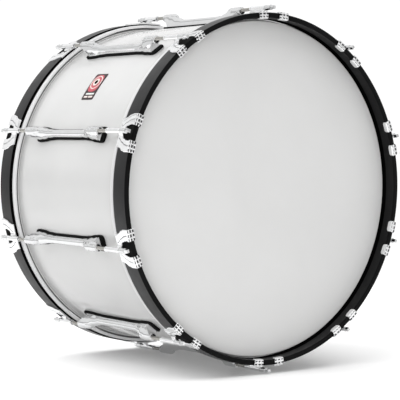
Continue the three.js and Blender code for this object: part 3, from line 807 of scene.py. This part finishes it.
def gasket_outline():
    """A rim round the bar's foot, closed by a round end."""
    side = []
    for i in range(GASKET_STEPS + 1):
        share = i / GASKET_STEPS * GASKET_SHARE
        foot = lug_section(share)[0][0][0]
        side.append((foot + GASKET_RIM, share * LUG_END))
    x, s = side[-1]
    for i in range(1, END_STEPS + 1):
        a = QUARTER * i / END_STEPS
        side.append((x - END_ACROSS * (1 - math.cos(a)), s + END_ALONG * math.sin(a)))
    half = [(px, -ps) for px, ps in reversed(side)] + side[1:]
    return half + [(-px, ps) for px, ps in reversed(half)]


def gasket_mesh():
    outline = gasket_outline()
    n, rings = len(outline), len(GASKET_LEVELS)
    verts = []
    for r, inset in GASKET_LEVELS:
        for x, s in outline:
            x2 = x - math.copysign(min(inset, abs(x)), x)
            s2 = s - math.copysign(inset if abs(s) > PAST_BARREL else 0.0, s)
            verts.append((x2, s2, math.sqrt(r * r - x2 * x2)))
    faces = bands(rings, n)
    for j in (0, rings - 1):
        for i in range(n // 2 - 1):
            a, b = j * n + i, j * n + i + 1
            c, d = j * n + n - 2 - i, j * n + n - 1 - i
            faces.append((a, b, c, d))
    return finish_mesh("lug_gasket", verts, faces, [RUBBER_AND_SHADOW], angle=40)


def nut_mesh():
    nut = lathe("nut_front", section(NUT_SECTION, 2), [DARKER], 28, centre=ROD_AXIS)
    return mirrored_ends("swivel_nuts", nut)


def make_lugs():
    cast = joined("lug_cast", [lug_mesh(), mirrored_ends("lug_barrels", lug_barrel())])
    gasket, nuts = gasket_mesh(), nut_mesh()
    for i in range(LUGS):
        key = f"{i + 1:02d}"
        for name, mesh in (("lug_cast_", cast), ("lug_gasket_", gasket), ("lug_nuts_", nuts)):
            dress(name + key, mesh, lug_matrix(i), "drum", "lug_" + key)


# Badge and vent. Plates are laid out flat round the vent, across and along the drum, and bent to its curve.
def on_shell(x, y, r):
    return r * math.sin(x / r), y, r * math.cos(x / r)


def bent_ring(name, outline, hole, low, high, mat, lift=0.35):
    """A thin plate bent round the drum, from its outline in to a round hole at its origin."""
    circle = [(hole * x / math.hypot(x, y), hole * y / math.hypot(x, y)) for x, y in outline]
    levels = [(low, 0.0), (high - lift, 0.0), (high, 0.04)] + [(high, k / 8) for k in range(1, 8)] + [(high, 1.0)]
    levels += [(low, 1.0)] + [(low, 1 - k / 6) for k in range(1, 6)]
    verts = [on_shell(x + (cx - x) * t, y + (cy - y) * t, r)
             for r, t in levels for (x, y), (cx, cy) in zip(outline, circle)]
    return finish_mesh(name, verts, bands(len(levels), len(outline), True), [mat], angle=40)


def round_outline(radius, steps=48):
    turns = [2 * math.pi * i / steps for i in range(steps)]
    return [(radius * math.cos(a), radius * math.sin(a)) for a in turns]


def panel(near, far, half, corner, steps=5):
    """A rounded rectangle, cut into short runs so that it bends with the drum."""
    outline = rounded([(near, -half), (near, half), (-far, half), (-far, -half)], corner, steps)
    out = []
    for (x0, y0), (x1, y1) in zip(outline, outline[1:] + outline[:1]):
        parts = max(1, int(math.dist((x0, y0), (x1, y1)) / RUN))
        out += [(x0 + (x1 - x0) * k / parts, y0 + (y1 - y0) * k / parts) for k in range(parts)]
    return out


def bent_bar(name, x0, x1, y0, y1, low, high, mat):
    """A thin bar bent round the drum."""
    n = BAR_STEPS
    verts = [on_shell(x0 + (x1 - x0) * i / (n - 1), y, r) for r in (low, high) for y in (y0, y1) for i in range(n)]
    faces = []
    for i in range(n - 1):
        for a, b in ((0, 1), (3, 2), (2, 0), (1, 3)):
            faces.append((a * n + i, a * n + i + 1, b * n + i + 1, b * n + i))
    for i in (0, n - 1):
        faces.append((i, n + i, 3 * n + i, 2 * n + i))
    return finish_mesh(name, verts, faces, [mat], angle=40)


PLATE_LOW, PLATE_HIGH = 305.1, 305.9
INLAY_LOW, INLAY_HIGH = 305.5, 306.1
RING_LOW, RING_HIGH = 305.8, 306.25
BAR_LOW, BAR_HIGH = 305.6, 306.05
BAR_STEPS, RUN = 9, 2.5
EYELET_BORE, EYELET_TUBE, EYELET_BORE_DEPTH = 4.3, 5.4, 0.3
EYELET_SECTION = ((EYELET_BORE, 295.8, 0.2), (EYELET_TUBE, 295.8, 0.2), (EYELET_TUBE, 306.15, 0.2), (8.6, 306.3, 0.3),
                  (8.4, 306.9, 0.5), (6.6, 307.4, 0.6), (EYELET_BORE, 306.7, 0.4))
# (near, far, half, corner) of the plate and of the inlay.
PLATE, INLAY = (21.0, 38.5, 18.5, 3.0), (17.8, 22.0, 15.6, 13.5)
RING_OUT, RING_IN, RING_LIFT = 15.4, 13.2, 0.1
# (name, across from, across to, along from, along to, material) of the plain bars under the inlay.
BARS = (("badge_bar_wide", -28.0, -24.6, -15.0, 11.0, PALE), ("badge_bar_long", -34.6, -31.0, -14.5, -1.5, CREAM),
        ("badge_bar_short", -34.6, -31.0, 1.5, 12.5, CREAM))


def eyelet_mesh():
    """The turned metal ring through badge and shell, with near-black painted shade in its bore."""
    return lathe("eyelet_ring", section(EYELET_SECTION, 3), [CREAM, SHADE_BLACK], 40, angle=40,
                 pick=lambda a, b: 1 if max(a[0], b[0]) < EYELET_BORE + EYELET_BORE_DEPTH else 0)


def make_badge():
    turn = Matrix.Rotation(math.radians(VENT_TURN), 4, "Y")
    pieces = [bent_ring("badge_plate", panel(*PLATE), VENT_R, PLATE_LOW, PLATE_HIGH, PLUM),
              bent_ring("badge_inlay", panel(*INLAY), VENT_R, INLAY_LOW, INLAY_HIGH, RED),
              bent_ring("badge_ring", round_outline(RING_OUT), RING_IN, RING_LOW, RING_HIGH, CREAM, RING_LIFT)]
    pieces += [bent_bar(*bar[:5], BAR_LOW, BAR_HIGH, bar[5]) for bar in BARS]
    for mesh in pieces:
        dress(mesh.name, mesh, turn, "drum", "badge")
    upright = Matrix.Rotation(-QUARTER, 4, "X")
    dress("eyelet_ring", eyelet_mesh(), turn @ upright, "drum", "vent_eyelet")


# Stage and light.
def math_node(n, l, kind, a, b):
    m = n.new("ShaderNodeMath")
    m.operation = kind
    for socket, value in zip(m.inputs, (a, b)):
        if isinstance(value, (int, float)):
            socket.default_value = value
        else:
            l.new(value, socket)
    return m.outputs["Value"]


def step_up(n, l, value, low, high, top):
    """Zero below low, top above high, smooth between."""
    m = n.new("ShaderNodeMapRange")
    m.interpolation_type = "SMOOTHSTEP"
    m.inputs["From Min"].default_value = low
    m.inputs["From Max"].default_value = high
    m.inputs["To Max"].default_value = top
    l.new(value, m.inputs["Value"])
    return m.outputs["Result"]


def make_stage():
    """A round pale floor that glows a little and shows darker in reflections."""
    turns = [math.radians(a) for a in range(0, 360, 5)]
    verts = [(0, 0, FLOOR)] + [(FLOOR_REACH * math.sin(a), FLOOR_REACH * math.cos(a), FLOOR) for a in turns]
    faces = [(0, i, i % len(turns) + 1) for i in range(1, len(turns) + 1)]
    mesh = finish_mesh("floor", verts, faces, [])
    m, n, l, p = new_material("pale_floor")
    tone = noise_node(n, l, 3, 3)
    path = n.new("ShaderNodeLightPath")
    dimmer = math_node(n, l, "MULTIPLY", path.outputs["Is Glossy Ray"], FLOOR_DIM)
    pale = ramp(n, l, tone.outputs["Fac"], 0.82, 0.84)
    l.new(math_node(n, l, "SUBTRACT", pale, dimmer), p.inputs["Base Color"])
    p.inputs["Roughness"].default_value = 0.8
    p.inputs["Emission Color"].default_value = (1, 1, 1, 1)
    p.inputs["Emission Strength"].default_value = FLOOR_GLOW
    mesh.materials.append(m)
    add_object("floor", mesh)


# The room that reflections see, by the parts of a direction. A fade runs from its first value to its second.
SEEN_POWER = 1.05
HORIZON, HORIZON_FADE, HORIZON_LEFT = 0.02, (0.02, 0.1), 0.48
LINE_HEIGHT, LINE_FADE, LINE_LEFT = 0.46, (0.03, 0.09), 0.58
CAMERA_SIDE, SIDE_FADE, FRONT_FADE, FAR_FADE = -0.5, (0.05, 0.13), (-0.5, -0.2), (0.79, 0.85)
ROOM_LEAST, ROOM_RISE = 0.1, 0.15


def away(n, l, value, place, fade, top):
    """Zero where value is near a place, top where it is far from it."""
    gap = math_node(n, l, "ABSOLUTE", math_node(n, l, "SUBTRACT", value, place), 0.0)
    return step_up(n, l, gap, *fade, top)


def room_glow(n, l, x, y, z):
    """What reflections see: a pale room with a dim horizon, a dim line above it and a dark camera side."""
    band = math_node(n, l, "ADD", away(n, l, z, HORIZON, HORIZON_FADE, 1 - HORIZON_LEFT), HORIZON_LEFT)
    line = away(n, l, z, LINE_HEIGHT, LINE_FADE, 1.0)
    line = math_node(n, l, "ADD", math_node(n, l, "MULTIPLY", line, 1 - LINE_LEFT), LINE_LEFT)
    line = math_node(n, l, "MAXIMUM", line, step_up(n, l, y, *FAR_FADE, 1.0))
    side = away(n, l, x, CAMERA_SIDE, SIDE_FADE, 1.0)
    gap = math_node(n, l, "MAXIMUM", side, step_up(n, l, y, *FRONT_FADE, 1.0))
    glow = math_node(n, l, "MULTIPLY", math_node(n, l, "MULTIPLY", band, line), gap)
    rise = math_node(n, l, "ADD", math_node(n, l, "MULTIPLY", z, ROOM_RISE), 1.0)
    return math_node(n, l, "ADD", math_node(n, l, "MULTIPLY", glow, rise), ROOM_LEAST)


def studio_world():
    """White for the camera, a soft even light for the surfaces and a room for their reflections."""
    world = bpy.data.worlds.new("studio")
    bpy.context.scene.world = world
    world.use_nodes = True
    n, l = world.node_tree.nodes, world.node_tree.links
    soft, seen, room = n["Background"], n.new("ShaderNodeBackground"), n.new("ShaderNodeBackground")
    for node, strength in ((soft, SOFT_POWER), (seen, SEEN_POWER)):
        node.inputs["Color"].default_value = (1, 1, 1, 1)
        node.inputs["Strength"].default_value = strength
    coord = n.new("ShaderNodeTexCoord")
    split = n.new("ShaderNodeSeparateXYZ")
    l.new(coord.outputs["Generated"], split.inputs["Vector"])
    l.new(room_glow(n, l, *(split.outputs[k] for k in "XYZ")), room.inputs["Strength"])
    path = n.new("ShaderNodeLightPath")
    gloss, mix = n.new("ShaderNodeMixShader"), n.new("ShaderNodeMixShader")
    l.new(path.outputs["Is Glossy Ray"], gloss.inputs["Fac"])
    l.new(soft.outputs["Background"], gloss.inputs[1])
    l.new(room.outputs["Background"], gloss.inputs[2])
    l.new(path.outputs["Is Camera Ray"], mix.inputs["Fac"])
    l.new(gloss.outputs["Shader"], mix.inputs[1])
    l.new(seen.outputs["Background"], mix.inputs[2])
    l.new(mix.outputs["Shader"], n["World Output"].inputs["Surface"])


# (name, place, target, size, power), in metres and watts.
LIGHTS = (("overhead", (0.0, 0.1, 2.6), (0, 0, 0), (5.0, 5.0), 150),
          ("key", (-2.6, -3.3, -0.05), (0, 0, 0), (2.6, 0.6), 74),
          ("side", (-3.0, 0.0, 2.0), (0, 0, -0.2), (2.4, 2.4), 48),
          ("front", (0.3, -3.3, 1.9), (0, 0, -0.2), (3.6, 2.0), 22),
          ("back", (-2.4, 2.6, 2.2), (0, 0, -0.3), (2.4, 2.4), 62))


def make_lights():
    """Soft area lights that don't show in reflections."""
    for name, place, target, size, power in LIGHTS:
        data = bpy.data.lights.new(name, "AREA")
        data.shape = "RECTANGLE"
        data.size, data.size_y = size
        data.energy = power
        o = bpy.data.objects.new(name, data)
        o.location = place
        o.rotation_euler = (Vector(target) - Vector(place)).to_track_quat("-Z", "Y").to_euler()
        o.visible_glossy = False
        bpy.context.scene.collection.objects.link(o)


bpy.context.scene.view_settings.view_transform = "Standard"
make_camera()
make_stage()
studio_world()
make_lights()
make_rings()
make_lugs()
make_claws()
make_rods()
make_badge()
